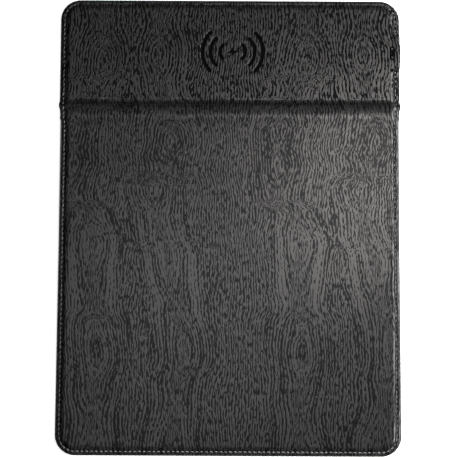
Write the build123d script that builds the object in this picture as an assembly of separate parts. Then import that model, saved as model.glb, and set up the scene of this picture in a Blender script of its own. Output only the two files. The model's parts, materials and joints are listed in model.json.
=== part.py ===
from build123d import *
import os

# Foldable leather desk mat with a wireless charger in its far panel.
# Frame, in millimetres: origin on the resting plane under the middle of the outline,
# +X to the user's right, +Y away from the user, +Z up.

# ---------------------------------------------------------------- outline and layers
LENGTH = 315.0            # whole mat, along Y
WIDTH = 236.0             # whole mat, along X
CORNER_R = 14.0           # corners of the outline
MAT_T = 5.0               # thickness of the mat
PANEL_T = 7.0             # thickness of the charger panel
HEM_T = 3.3               # thickness of the sewn edge
HEM_W = 3.6               # width of the flat sewn edge
SLOPE_W = 5.9             # plan width of the slope from the sewn edge up to the top
LEATHER_T = 0.8           # cover leather
BASE_T = 0.6              # non-slip underside skin
SLOPE_SHIFT = 0.3         # how much further in the leather's inner slope lies
EDGE_X = WIDTH / 2
EDGE_Y = LENGTH / 2

# ---------------------------------------------------------------- seam
SEAM_INSET = 3.0          # middle of the stitching, from the edge
SEAM_W = 0.7
SEAM_DEPTH = 0.35
SEAM_MAT_END = 2.0        # the mat's stitching stops this far past the top of the ramp
SEAM_PANEL_START = 0.5    # and the panel's starts this far behind its front wall
SEAM_PORT_GAP = 0.4

# ---------------------------------------------------------------- fold
FOLD_Y = EDGE_Y - 73.4    # hinge line of the panel
ROLL_R = 0.8              # rolled leather on the hinge line
FOLD_Z = ROLL_R
ROLL_GAP = 0.05           # running gap between the roll and the panel
SKIN_REACH = 0.5          # the underside skins reach this close to the hinge line
WEB_REACH = 0.9           # the leather's pressed webs reach this close to it
WEB_TOP = 1.2
RAMP_TOP_Y = FOLD_Y - 7.5
WALL_Y = FOLD_Y + 3.5     # front wall of the charger panel
SCORE_Y = FOLD_Y - 10.6   # shallow second crease
SCORE_HALF = 1.6
SCORE_DEPTH = 0.4

# ---------------------------------------------------------------- boards and foam
BOARD_T = 1.2             # stiffener board in the mat
BOARD_INSET = 9.0
BOARD_R = 4.0
FOAM_GAP = 0.8            # gap in the foam under the second crease
WEDGE_END_Y = FOLD_Y - 2.0

# ---------------------------------------------------------------- charger housing
CASE_X = 107.5            # half width of the plastic housing
CASE_Y0 = WALL_Y + 2.0
CASE_Y1 = EDGE_Y - 10.0
CASE_WALL = 1.2
CASE_R = 4.5
FLOOR_T = 1.0
LID_T = 0.9
LID_TOP = PANEL_T - LEATHER_T
LID_Z = LID_TOP - LID_T

# ---------------------------------------------------------------- port corner
PORT_Y = 119.8            # middle of the USB-C socket
PORT_Z = 3.4
BOSS_X = 104.0            # the full-height stretch of the edge starts here
BOSS_Y0 = PORT_Y - 12.5
BOSS_Y1 = PORT_Y + 14.0
BOSS_CHAMFER = 1.4
TAB_WALL = 0.8            # housing wall around the port
TAB_X1 = EDGE_X - 0.85
SOCKET_W, SOCKET_H, SOCKET_L = 8.94, 3.26, 7.35
SOCKET_WALL = 0.3
SOCKET_X1 = EDGE_X - 0.2
SOCKET_BACK = 1.0
TONGUE_W, TONGUE_H, TONGUE_L = 6.69, 0.7, 5.2
BEZEL_W, BEZEL_H, BEZEL_T = 12.6, 4.9, 0.85
PORT_GAP = 0.06

# ---------------------------------------------------------------- charger electronics
COIL_Y = PORT_Y + 0.5
COIL_R, COIL_HOLE_R, COIL_T = 21.5, 10.0, 1.0
FERRITE_R, FERRITE_T = 24.0, 0.6
FERRITE_Z = 3.4
COIL_Z = FERRITE_Z + FERRITE_T
LEAD_R = 0.4
LEAD_SPREAD = 3.0
PCB_X0, PCB_X1 = 60.0, 106.0
PCB_Y0, PCB_Y1 = 104.0, 140.0
PCB_Z, PCB_T = 1.9, 0.8
PCB_TOP = PCB_Z + PCB_T
LED_X, LED_Y = 111.8, PORT_Y + 11.0
LED_T = 0.6
PIPE_R = 0.6
PIPE_HOLE_R = 0.65

# ---------------------------------------------------------------- pressed marks
MARK_DEPTH = 0.35
MARK_X = 1.7              # the waves and bolt sit this far right of the middle
ARC_RADII = (7.0, 13.6, 19.3)
ARC_HALF = 43.5           # half angle of each arc, in degrees
ARC_SHIFT = 1.7           # the arcs' centres lie this far out on their own side
ARC_W = 2.4
BOLT = [(-4.0, -0.9), (0.7, 2.7), (0.5, 0.8), (4.0, 0.9), (-0.7, -2.7), (-0.5, -0.8)]
ICON_X = 112.4
ICON_L, ICON_W, ICON_LINE = 9.4, 3.8, 0.9

# ---------------------------------------------------------------- stand flap
FLAP_X = 34.0             # half width
FLAP_T = 2.0
FLAP_Y0 = WALL_Y + 3.6
FLAP_AXIS_Y = EDGE_Y - 9.5
FLAP_AXIS_Z = 2.1
FLAP_ROLL_R = 0.5
FLAP_R = 4.0              # corners of the flap's free end
FLAP_SKIN_T = 0.5
FLAP_BOARD_INSET = 1.0
NOTCH_R = 7.0             # finger notch in the free end
RECESS_X = FLAP_X + 0.6
RECESS_Y0 = FLAP_Y0 - 0.4
RECESS_Y1 = FLAP_AXIS_Y + 1.9
RECESS_Z = 2.6
CEILING_T = 0.7
LIP_Y1 = RECESS_Y1 + 1.1
LIP_X = RECESS_X + 2.0
FOOT_W, FOOT_L, FOOT_T = 20.0, 3.0, 0.3
FOOT_X = 20.0
MAGNET_X, MAGNET_Y = 20.0, FLAP_Y0 + 7.0
MAGNET_R, MAGNET_T = 3.0, 0.8
KEEPER_R, KEEPER_T = 4.0, 0.4

# ---------------------------------------------------------------- screws
SCREW_SPOTS = [(x, y) for x in (-101.0, -44.0, 44.0, 101.0) for y in (96.5, 143.0)]
SCREW_HEAD_R, SCREW_HEAD_T = 1.5, 0.5
SCREW_R, SCREW_L = 0.7, 3.0
SCREW_GAP = 0.05
BOSS_R = 1.9
SPIGOT_R = 1.6


# ---------------------------------------------------------------- shapes used by several parts
def block(x0, x1, y0, y1, z0, z1):
    """A box between two corners."""
    middle = Pos((x0 + x1) / 2, (y0 + y1) / 2, (z0 + z1) / 2)
    return middle * Box(x1 - x0, y1 - y0, z1 - z0)


def post(x, y, radius, z0, z1):
    """An upright cylinder."""
    return Pos(x, y, (z0 + z1) / 2) * Cylinder(radius, z1 - z0)


def rounded_block(x0, x1, y0, y1, z0, z1, radius):
    """A box with rounded upright edges."""
    face = Pos((x0 + x1) / 2, (y0 + y1) / 2, z0) * RectangleRounded(x1 - x0, y1 - y0, radius)
    return extrude(face, z1 - z0, dir=(0, 0, 1))


def outline(inset, z):
    """The mat's outline, moved in by inset, as a face at height z."""
    face = RectangleRounded(WIDTH - 2 * inset, LENGTH - 2 * inset, CORNER_R - inset)
    return Pos(0, 0, z) * face


def layer(inset, z0, z1):
    """A flat layer with the mat's outline."""
    return extrude(outline(inset, z0), z1 - z0, dir=(0, 0, 1))


def bar(points):
    """A bar right across the mat, whose section is a list of (y, z) points."""
    face = make_face(Polyline(*[(0, y, z) for y, z in points], close=True))
    return extrude(face, WIDTH, dir=(1, 0, 0), both=True)


def rod(y, z, radius, half_length):
    """A cylinder along X."""
    return Pos(0, y, z) * Rot(0, 90, 0) * Cylinder(radius, 2 * half_length)


def cushion_outer(thickness):
    """Outside of the cover: a flat sewn edge, then a slope up to the top."""
    slope = loft([outline(HEM_W, HEM_T), outline(HEM_W + SLOPE_W, thickness)], ruled=True)
    return layer(0, BASE_T, HEM_T) + slope


def cushion_inner(thickness):
    """Space under the cover leather."""
    foot = HEM_W + SLOPE_SHIFT
    low = HEM_T - LEATHER_T
    slope = loft([outline(foot, low), outline(foot + SLOPE_W, thickness - LEATHER_T)], ruled=True)
    return layer(LEATHER_T, BASE_T, low) + slope


def mat_side(top_drop, end_y):
    """Everything on the mat's side of the fold, under its ramp."""
    ramp_top = MAT_T - top_drop
    ramp_foot = WEB_TOP - top_drop
    slope = (ramp_top - ramp_foot) / (FOLD_Y - WEB_REACH - RAMP_TOP_Y)
    foot_y = min(FOLD_Y - WEB_REACH, end_y)
    foot_z = ramp_top - slope * (foot_y - RAMP_TOP_Y)
    return bar([(-LENGTH, 0), (-LENGTH, ramp_top), (RAMP_TOP_Y, ramp_top), (foot_y, foot_z), (foot_y, 0)])


def rounded_slot(x0, x1, width, height):
    """A rounded bar along X through the port."""
    face = Plane.YZ * Pos(PORT_Y, PORT_Z) * RectangleRounded(width, height, height / 2 - 0.01)
    return Pos(x0, 0, 0) * extrude(face, x1 - x0, dir=(1, 0, 0))


def score_groove():
    """The shallow second crease."""
    half, deep = SCORE_HALF, MAT_T - SCORE_DEPTH
    return bar([(SCORE_Y - half, MAT_T + 1), (SCORE_Y - half, MAT_T), (SCORE_Y, deep),
                (SCORE_Y + half, MAT_T), (SCORE_Y + half, MAT_T + 1)])


def port_boss(shrink):
    """The stretch of the edge that stays at full height over the port."""
    boss = block(BOSS_X, EDGE_X - shrink, BOSS_Y0 + shrink, BOSS_Y1 - shrink, BASE_T, PANEL_T - shrink)
    upright = boss.edges().filter_by(Axis.X).group_by(Axis.Z)[-1]
    across = boss.edges().filter_by(Axis.Y).group_by(Axis.Z)[-1].sort_by(Axis.X)[-1]
    return chamfer(list(upright) + [across], BOSS_CHAMFER)


def seam_ring():
    """The stitching's channel, all round the outline."""
    near, far = SEAM_INSET - SEAM_W / 2, SEAM_INSET + SEAM_W / 2
    return layer(near, HEM_T - SEAM_DEPTH, HEM_T) - layer(far, HEM_T - SEAM_DEPTH, HEM_T)


# ---------------------------------------------------------------- mat
def mat_seam_thread():
    return seam_ring() & block(-EDGE_X, EDGE_X, -EDGE_Y, RAMP_TOP_Y + SEAM_MAT_END, 0, MAT_T)


def mat_top_leather(thread):
    cover = cushion_outer(MAT_T) & mat_side(0, FOLD_Y)
    hollow = cushion_inner(MAT_T) & mat_side(LEATHER_T, WEDGE_END_Y)
    return cover - hollow - thread - score_groove()


def mat_stiffener_board():
    x1 = EDGE_X - BOARD_INSET
    y0, y1 = -EDGE_Y + BOARD_INSET, SCORE_Y - FOAM_GAP
    return rounded_block(-x1, x1, y0, y1, BASE_T, BASE_T + BOARD_T, BOARD_R)


def mat_filling():
    return cushion_inner(MAT_T) & mat_side(LEATHER_T, WEDGE_END_Y)


def mat_foam_pad(board):
    return (mat_filling() & block(-EDGE_X, EDGE_X, -EDGE_Y, SCORE_Y - FOAM_GAP / 2, 0, MAT_T)) - board


def fold_strip_foam():
    return mat_filling() & block(-EDGE_X, EDGE_X, SCORE_Y + FOAM_GAP / 2, WEDGE_END_Y, 0, MAT_T)


def mat_base_skin():
    skin = layer(0, 0, BASE_T) & block(-EDGE_X, EDGE_X, -EDGE_Y, FOLD_Y - SKIN_REACH, 0, BASE_T)
    return skin - rod(FOLD_Y, FOLD_Z, ROLL_R, WIDTH)


def crease_roll():
    return rod(FOLD_Y, FOLD_Z, ROLL_R, EDGE_X - 0.5)


# ---------------------------------------------------------------- charger panel: cover
def panel_cover():
    """Outside of the panel's cover, with its front wall and its pressed web."""
    behind = block(-EDGE_X, EDGE_X, WALL_Y, EDGE_Y, 0, PANEL_T)
    web = block(-EDGE_X, EDGE_X, FOLD_Y + WEB_REACH, WALL_Y, BASE_T, WEB_TOP)
    return ((cushion_outer(PANEL_T) + port_boss(0)) & behind) + web


def panel_filling():
    """Space under the panel's cover."""
    behind = block(-EDGE_X, EDGE_X, WALL_Y + LEATHER_T, EDGE_Y, 0, PANEL_T)
    return (cushion_inner(PANEL_T) + port_boss(LEATHER_T)) & behind


def symbol():
    """Six waves and a bolt, as a flat sketch at the panel's top."""
    marks = [Pos(MARK_X, COIL_Y) * make_face(Polyline(*BOLT, close=True))]
    for side in (-1, 1):
        for radius in ARC_RADII:
            start = -ARC_HALF if side > 0 else 180 - ARC_HALF
            wave = CenterArc((MARK_X + side * ARC_SHIFT, COIL_Y), radius, start, 2 * ARC_HALF)
            marks.append(SlotArc(wave, ARC_W))
    return marks


def port_mark():
    """A plain outline of a socket with its tongue."""
    ring = RectangleRounded(ICON_W, ICON_L, ICON_W / 2 - 0.01)
    ring -= RectangleRounded(ICON_W - 2 * ICON_LINE, ICON_L - 2 * ICON_LINE, ICON_W / 2 - ICON_LINE - 0.01)
    tongue = Rectangle(ICON_LINE, ICON_L / 2)
    return [Pos(ICON_X, PORT_Y) * ring, Pos(ICON_X, PORT_Y) * tongue]


def panel_top_leather(thread):
    cover = panel_cover() - panel_filling() - thread
    for mark in symbol() + port_mark():
        cover -= extrude(Pos(0, 0, PANEL_T - MARK_DEPTH) * mark, 1.0, dir=(0, 0, 1))
    cover -= rounded_slot(EDGE_X - 2.0, EDGE_X + 1.0, BEZEL_W, BEZEL_H)
    return cover - post(LED_X, LED_Y, PIPE_HOLE_R, LID_Z, PANEL_T + 1)


def panel_seam_thread():
    band = seam_ring() & block(-EDGE_X, EDGE_X, WALL_Y + SEAM_PANEL_START, EDGE_Y, 0, PANEL_T)
    return band - block(BOSS_X, EDGE_X, BOSS_Y0 - SEAM_PORT_GAP, BOSS_Y1 + SEAM_PORT_GAP, 0, PANEL_T)


def panel_base_skin():
    skin = layer(0, 0, BASE_T) & block(-EDGE_X, EDGE_X, FOLD_Y + SKIN_REACH, EDGE_Y, 0, BASE_T)
    skin -= rod(FOLD_Y, FOLD_Z, ROLL_R + ROLL_GAP, WIDTH)
    return skin - block(-RECESS_X, RECESS_X, RECESS_Y0, RECESS_Y1, 0, BASE_T)


# ---------------------------------------------------------------- charger panel: housing
def case_envelope():
    """The closed housing's outside."""
    body = rounded_block(-CASE_X, CASE_X, CASE_Y0, CASE_Y1, BASE_T, LID_TOP, CASE_R)
    gap = LEATHER_T + 0.1
    tab = block(CASE_X - 3, TAB_X1, BOSS_Y0 + gap, BOSS_Y1 - gap, BASE_T, LID_TOP - BOSS_CHAMFER)
    neck = block(CASE_X - 3, TAB_X1 - 2.0, BOSS_Y0 + gap + BOSS_CHAMFER, BOSS_Y1 - gap - BOSS_CHAMFER,
                 BASE_T, LID_TOP)
    lip = block(-LIP_X, LIP_X, CASE_Y1 - 2, LIP_Y1, BASE_T, RECESS_Z + CEILING_T)
    return body + tab + neck + lip


def charger_upper_shell():
    lid = case_envelope() & block(-EDGE_X, EDGE_X, CASE_Y0, CASE_Y1, LID_Z, LID_TOP)
    for x, y in SCREW_SPOTS:
        lid += post(x, y, SPIGOT_R, BASE_T + SCREW_HEAD_T + FLOOR_T + 0.1, LID_Z)
        lid -= post(x, y, SCREW_R + SCREW_GAP, BASE_T, LID_Z - 0.3)
    return lid - post(LED_X, LED_Y, PIPE_HOLE_R, LID_Z - 1, LID_TOP + 1)


def charger_lower_shell():
    below_lid = block(-EDGE_X, EDGE_X, 0, EDGE_Y, 0, LID_Z)
    shell = case_envelope() & below_lid
    room = rounded_block(-CASE_X + CASE_WALL, CASE_X - CASE_WALL, CASE_Y0 + CASE_WALL,
                         CASE_Y1 - CASE_WALL, BASE_T + FLOOR_T, LID_Z, CASE_R - CASE_WALL)
    gap = LEATHER_T + 0.1 + TAB_WALL
    room += block(CASE_X - 3, TAB_X1 - TAB_WALL, BOSS_Y0 + gap, BOSS_Y1 - gap, BASE_T + FLOOR_T, LID_Z)
    roof = block(-LIP_X, LIP_X, CASE_Y0, LIP_Y1, BASE_T, RECESS_Z + CEILING_T)
    recess = block(-RECESS_X, RECESS_X, RECESS_Y0, RECESS_Y1, 0, RECESS_Z)
    shell = shell - (room - roof) - recess
    floor_z = BASE_T + FLOOR_T
    for x, y in SCREW_SPOTS:
        shell += post(x, y, BOSS_R, BASE_T, floor_z + SCREW_HEAD_T)
        shell -= post(x, y, SCREW_HEAD_R + SCREW_GAP, BASE_T, BASE_T + SCREW_HEAD_T)
        shell -= post(x, y, SCREW_R + SCREW_GAP, BASE_T, LID_Z)
    shell -= rounded_slot(TAB_X1 - 2, EDGE_X, SOCKET_W + 2 * PORT_GAP, SOCKET_H + 2 * PORT_GAP)
    return shell


def panel_edge_foam():
    return panel_filling() - case_envelope() - block(BOSS_X, EDGE_X, BOSS_Y0, BOSS_Y1, 0, PANEL_T)


def shell_screws():
    screws = []
    for x, y in SCREW_SPOTS:
        head = post(x, y, SCREW_HEAD_R, BASE_T + 0.02, BASE_T + SCREW_HEAD_T)
        screws.append(head + post(x, y, SCREW_R, BASE_T + 0.1, BASE_T + SCREW_HEAD_T + SCREW_L))
    return screws


def keeper_plates():
    top = RECESS_Z + CEILING_T
    return [post(side * MAGNET_X, MAGNET_Y, KEEPER_R, top, top + KEEPER_T) for side in (-1, 1)]


# ---------------------------------------------------------------- charger panel: electronics
def ferrite_sheet():
    return post(0, COIL_Y, FERRITE_R, FERRITE_Z, FERRITE_Z + FERRITE_T)


def transmit_coil():
    disc = post(0, COIL_Y, COIL_R, COIL_Z, COIL_Z + COIL_T)
    return disc - post(0, COIL_Y, COIL_HOLE_R, COIL_Z, COIL_Z + COIL_T)


def coil_thermistor():
    return Pos(0, COIL_Y, COIL_Z + 0.4) * Box(3.0, 1.8, 0.8)


def coil_leads():
    leads = []
    for side in (-1, 1):
        y = COIL_Y + side * LEAD_SPREAD
        z = COIL_Z + COIL_T / 2
        rest_z = PCB_TOP + LEAD_R + 0.02
        start_x = (COIL_R ** 2 - LEAD_SPREAD ** 2) ** 0.5 + LEAD_R
        route = FilletPolyline((start_x, y, z), (48, y, z), (57, y, rest_z), (65, y, rest_z), radius=4.0)
        section = Plane(origin=route @ 0, z_dir=route % 0) * Circle(LEAD_R)
        leads.append(sweep(section, path=route))
    return leads


def circuit_board():
    board = block(PCB_X0, PCB_X1, PCB_Y0, PCB_Y1, PCB_Z, PCB_TOP)
    gap = LEATHER_T + 0.3 + TAB_WALL
    board += block(PCB_X1 - 3, TAB_X1 - TAB_WALL - 0.2, BOSS_Y0 + gap, BOSS_Y1 - gap, PCB_Z, PCB_TOP)
    notch_x = SOCKET_X1 - SOCKET_L - PORT_GAP
    notch_w = SOCKET_W / 2 + PORT_GAP
    return board - block(notch_x, EDGE_X, PORT_Y - notch_w, PORT_Y + notch_w, PCB_Z, PCB_TOP)


def chip(x, y, length, width, height):
    """A component standing on the circuit board."""
    return Pos(x, y, PCB_TOP + height / 2) * Box(length, width, height)


def control_chip():
    return chip(80, 118, 5.0, 5.0, 0.9)


def power_transistors():
    return [chip(70 + 6 * column, 128 + 6 * row, 3.3, 3.3, 0.9) for column in (0, 1) for row in (0, 1)]


def resonant_capacitors():
    return [chip(70 + 4 * index, 110, 1.6, 3.2, 1.6) for index in range(4)]


def power_inductor():
    return fillet(chip(92, 132, 6.0, 6.0, 2.2).edges().filter_by(Axis.Z), 1.2)


def indicator_led():
    return chip(LED_X, LED_Y - 0.2, 1.6, 0.8, LED_T)


def light_pipe():
    return post(LED_X, LED_Y, PIPE_R, PCB_TOP + LED_T + 0.1, PANEL_T - 0.5)


# ---------------------------------------------------------------- charger panel: socket
def usb_c_shell():
    x0 = SOCKET_X1 - SOCKET_L
    room_w, room_h = SOCKET_W - 2 * SOCKET_WALL, SOCKET_H - 2 * SOCKET_WALL
    tube = rounded_slot(x0, SOCKET_X1, SOCKET_W, SOCKET_H)
    return tube - rounded_slot(x0 + SOCKET_BACK, SOCKET_X1, room_w, room_h)


def usb_c_tongue():
    x0 = SOCKET_X1 - SOCKET_L + SOCKET_BACK
    return block(x0, x0 + TONGUE_L, PORT_Y - TONGUE_W / 2, PORT_Y + TONGUE_W / 2,
                 PORT_Z - TONGUE_H / 2, PORT_Z + TONGUE_H / 2)


def port_bezel_envelope():
    return rounded_slot(EDGE_X - BEZEL_T, EDGE_X, BEZEL_W, BEZEL_H)


def port_bezel():
    mouth = rounded_slot(EDGE_X - BEZEL_T, EDGE_X, SOCKET_W + 2 * PORT_GAP, SOCKET_H + 2 * PORT_GAP)
    return port_bezel_envelope() - mouth


# ---------------------------------------------------------------- stand flap
def flap_sheet(inset, z0, z1):
    """One layer of the flap, with rounded free corners and the finger notch."""
    x, y0, y1 = FLAP_X - inset, FLAP_Y0 + inset, FLAP_AXIS_Y - inset / 2
    sheet = rounded_block(-x, x, y0, y1 + FLAP_R, z0, z1, FLAP_R - inset)
    sheet &= block(-x, x, y0, y1, z0, z1)
    sheet -= post(0, FLAP_Y0, NOTCH_R + inset, z0, z1)
    return sheet - rod(FLAP_AXIS_Y, FLAP_AXIS_Z, FLAP_ROLL_R + ROLL_GAP, FLAP_X + 1)


def magnet_spots(gap):
    """Pockets or magnets near the flap's free end."""
    z0 = (FLAP_T - MAGNET_T) / 2
    return [post(side * MAGNET_X, MAGNET_Y, MAGNET_R + gap, z0, z0 + MAGNET_T) for side in (-1, 1)]


def foot_strips(z_top):
    y0 = FLAP_Y0 + FLAP_BOARD_INSET + 0.5
    return [block(side * FOOT_X - FOOT_W / 2, side * FOOT_X + FOOT_W / 2, y0, y0 + FOOT_L, 0, z_top)
            for side in (-1, 1)]


def flap_board():
    board = flap_sheet(FLAP_BOARD_INSET, FLAP_SKIN_T, FLAP_T - FLAP_SKIN_T)
    return board - magnet_spots(0)


def flap_inner_skin():
    return flap_sheet(0, FLAP_T - FLAP_SKIN_T, FLAP_T)


def flap_outer_skin():
    skin = flap_sheet(0, 0, FLAP_T - FLAP_SKIN_T) - flap_sheet(FLAP_BOARD_INSET, FLAP_SKIN_T, FLAP_T)
    return skin - foot_strips(FOOT_T)


def flap_hinge_strip():
    roll = rod(FLAP_AXIS_Y, FLAP_AXIS_Z, FLAP_ROLL_R, FLAP_X - 1)
    glued = block(-FLAP_X + 1, FLAP_X - 1, FLAP_AXIS_Y, RECESS_Y1, FLAP_AXIS_Z + 0.1, RECESS_Z)
    return roll + glued


# ---------------------------------------------------------------- writing the parts
def write(name, shape):
    """One STEP file for each named part; a list is a group of separate solids."""
    solids = shape if isinstance(shape, list) else list(shape.solids())
    part = Compound(label=name, children=solids) if len(solids) > 1 else solids[0]
    part.label = name
    export_step(part, f"parts/{name}.step")


def main():
    os.makedirs("parts", exist_ok=True)
    mat_thread = mat_seam_thread()
    panel_thread = panel_seam_thread()
    board = mat_stiffener_board()
    parts = {
        "mat_top_leather": mat_top_leather(mat_thread),
        "mat_foam_pad": mat_foam_pad(board),
        "mat_stiffener_board": board,
        "fold_strip_foam": fold_strip_foam(),
        "mat_base_skin": mat_base_skin(),
        "crease_roll": crease_roll(),
        "mat_seam_thread": mat_thread,
        "panel_top_leather": panel_top_leather(panel_thread),
        "panel_edge_foam": panel_edge_foam(),
        "panel_base_skin": panel_base_skin(),
        "panel_seam_thread": panel_thread,
        "charger_upper_shell": charger_upper_shell(),
        "charger_lower_shell": charger_lower_shell(),
        "shell_screws": shell_screws(),
        "keeper_plates": keeper_plates(),
        "ferrite_sheet": ferrite_sheet(),
        "transmit_coil": transmit_coil(),
        "coil_leads": coil_leads(),
        "coil_thermistor": coil_thermistor(),
        "circuit_board": circuit_board(),
        "control_chip": control_chip(),
        "power_transistors": power_transistors(),
        "resonant_capacitors": resonant_capacitors(),
        "power_inductor": power_inductor(),
        "indicator_led": indicator_led(),
        "light_pipe": light_pipe(),
        "usb_c_shell": usb_c_shell(),
        "usb_c_tongue": usb_c_tongue(),
        "port_bezel": port_bezel(),
        "flap_hinge_strip": flap_hinge_strip(),
        "flap_board": flap_board(),
        "flap_inner_skin": flap_inner_skin(),
        "flap_outer_skin": flap_outer_skin(),
        "flap_magnets": magnet_spots(0),
        "flap_foot_strips": foot_strips(FOOT_T),
    }
    for name, shape in parts.items():
        write(name, shape)


main()
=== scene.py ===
import json
import math

import bmesh
import bpy
import numpy as np
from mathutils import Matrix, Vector


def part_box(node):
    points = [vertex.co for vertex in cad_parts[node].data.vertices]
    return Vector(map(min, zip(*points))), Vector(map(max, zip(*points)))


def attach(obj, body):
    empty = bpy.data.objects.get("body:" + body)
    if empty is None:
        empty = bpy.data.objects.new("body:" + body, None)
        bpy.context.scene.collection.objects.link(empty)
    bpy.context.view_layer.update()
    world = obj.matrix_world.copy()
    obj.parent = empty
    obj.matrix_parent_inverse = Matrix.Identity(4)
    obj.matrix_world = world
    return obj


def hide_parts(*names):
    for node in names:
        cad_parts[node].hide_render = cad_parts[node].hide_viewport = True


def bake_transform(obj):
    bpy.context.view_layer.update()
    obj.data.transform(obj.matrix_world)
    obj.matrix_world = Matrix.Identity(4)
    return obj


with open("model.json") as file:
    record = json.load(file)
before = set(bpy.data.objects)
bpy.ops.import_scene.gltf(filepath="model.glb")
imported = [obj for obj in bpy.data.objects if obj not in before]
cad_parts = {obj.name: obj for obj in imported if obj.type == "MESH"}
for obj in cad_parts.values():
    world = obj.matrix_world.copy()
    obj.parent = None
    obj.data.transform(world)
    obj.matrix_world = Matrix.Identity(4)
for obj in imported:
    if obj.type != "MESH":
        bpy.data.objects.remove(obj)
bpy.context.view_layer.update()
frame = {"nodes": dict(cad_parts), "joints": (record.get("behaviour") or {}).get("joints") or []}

MM = 0.001                # every length below is in millimetres until a mesh is made


# ------ sizes read from the frame
def node_box(node):
    """Lowest and highest corner of a CAD node, in millimetres."""
    low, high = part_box(node)
    return np.array(low) / MM, np.array(high) / MM


def joint_spot(name):
    """Where a joint's axis is, in millimetres."""
    spot = next(joint["pos_m"] for joint in frame["joints"] if joint["name"] == name)
    return np.array(spot) / MM


MAT_HIGH = node_box("mat_top_leather")[1]
PANEL_HIGH = node_box("panel_top_leather")[1]
COIL_LOW, COIL_HIGH = node_box("transmit_coil")
SOCKET_LOW, SOCKET_HIGH = node_box("usb_c_shell")
TONGUE_LOW, TONGUE_HIGH = node_box("usb_c_tongue")
BEZEL_LOW, BEZEL_HIGH = node_box("port_bezel")
PIPE_LOW, PIPE_HIGH = node_box("light_pipe")
FLAP_LOW, FLAP_HIGH = node_box("flap_outer_skin")
LINING_LOW, LINING_HIGH = node_box("flap_inner_skin")
FOOT_LOW, FOOT_HIGH = node_box("flap_foot_strips")

EDGE_X, EDGE_Y = MAT_HIGH[0], PANEL_HIGH[1]
MAT_TOP, PANEL_TOP = MAT_HIGH[2], PANEL_HIGH[2]
FOLD_Y, FOLD_Z = joint_spot("panel_fold")[1:]
COIL_Y = (COIL_LOW[1] + COIL_HIGH[1]) / 2
PORT_Y, PORT_Z = (SOCKET_LOW[1] + SOCKET_HIGH[1]) / 2, (SOCKET_LOW[2] + SOCKET_HIGH[2]) / 2
SOCKET_W, SOCKET_H = SOCKET_HIGH[1] - SOCKET_LOW[1], SOCKET_HIGH[2] - SOCKET_LOW[2]
BEZEL_W, BEZEL_H = BEZEL_HIGH[1] - BEZEL_LOW[1], BEZEL_HIGH[2] - BEZEL_LOW[2]
PIPE_X, PIPE_Y = (PIPE_LOW[0] + PIPE_HIGH[0]) / 2, (PIPE_LOW[1] + PIPE_HIGH[1]) / 2

# ------ the cover's shape
CORNER_R = 14.0
SEAM_INSET = 3.0
STITCH_PITCH = 3.25
WAIST = 1.0               # the mat's sides are drawn in this much below the fold
WAIST_START, WAIST_END = FOLD_Y - 11.8, -EDGE_Y
PUCKER = 0.7              # the edge bulges out this much beside each crease
PUCKERS = ((FOLD_Y - 0.6, 2.2, 1.0), (FOLD_Y - 10.2, 2.4, 0.75))
PILLOW_W = (2.6, 3.4)     # width of the slope from the sewn edge to the top: mat, panel
VALLEY_Z = 2.6            # leather's height on the hinge line
RAMP_Y = (FOLD_Y - 8.4, FOLD_Y)          # the mat's top dips gently between these
RAMP_DEPTH = 1.4
SLIT_Y = FOLD_Y - 1.5     # and drops to the hinge line from here
WALL_Y = (FOLD_Y - 0.4, FOLD_Y + 3.1)    # the panel's front rises between these
PANEL_SAG = 0.64          # the panel's top falls this much towards its far edge
SCORE_Y, SCORE_HALF, SCORE_DEPTH = FOLD_Y - 10.1, 2.6, 0.11
PINCH = 0.42              # how much the sewn edge flattens on the hinge line
PORT_Y_RISE = (PORT_Y - 13.5, PORT_Y - 9.5)
PORT_Y_FALL = (PORT_Y + 12.0, PORT_Y + 15.5)
PORT_CORNER_X = EDGE_X - 14.0

# section of the sewn edge from under the rim to inside the seam: (inset, height)
RIM = ((0.5, 0.35), (0.12, 0.6), (0.0, 1.0), (0.08, 1.5), (0.3, 1.95), (0.65, 2.35), (1.1, 2.68),
       (1.6, 2.92), (2.1, 3.04), (2.55, 2.96), (2.9, 2.74), (3.25, 2.85), (3.7, 3.5))
# the same where the edge stays high over the socket
PORT_RIM = ((0.55, 0.45), (0.1, 0.7), (0.0, 1.1), (0.0, 2.4), (0.0, 3.6), (0.0, 4.7), (0.12, 5.5),
            (0.5, 6.05), (1.1, 6.35), (1.8, 6.5), (2.5, 6.6), (3.2, 6.68), (3.8, 6.74))
SEAM_RING = 10            # which of these points the stitches lie on
SLOPE_INSETS = np.array([4.1, 4.9, 5.8, 6.8, 7.8, 8.9, 10.1, 11.4, 12.6])   # rings inside the seam
SEAM_PORT = (PORT_Y - 10.6, PORT_Y + 10.0)   # no stitching between these
# the underside's edge, from inside the rim down to the flat: (inset, height)
UNDER_RIM = ((0.75, 0.62), (0.62, 0.4), (0.68, 0.12), (1.0, 0.0), (3.0, 0.0), (6.0, 0.0))
HOLE_R = 0.55             # each stitch draws the leather in this far round its ends

# ------ stitches
STITCH_L, STITCH_R = 2.5, 0.25
STITCH_SLANT, STITCH_SWAY = math.radians(-13), math.radians(3.0)
STITCH_RISE = 0.24        # lower along the far, near and right edges and by the socket
SINK_FAR, SINK_NEAR, SINK_RIGHT, SINK_PORT = 0.45, 0.22, 0.4, 0.6

# ------ pressed marks
MARK_DEPTH = 0.4
ARC_RADII = (7.0, 13.6, 19.3)
ARC_HALF = math.radians(43.5)
ARC_SHIFT = 1.7
ARC_W = 2.4
MARK_X = 1.7              # the waves and bolt sit this far right of the middle
BOLT = ((-4.0, -0.9), (0.7, 2.7), (0.5, 0.8), (4.0, 0.9), (-0.7, -2.7), (-0.5, -0.8))
ICON_X = 112.4
ICON_L, ICON_W, ICON_LINE = 9.4, 3.8, 0.9
SEAM_END = (EDGE_X - 5.6, SEAM_PORT[0] - 1.4)

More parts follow.
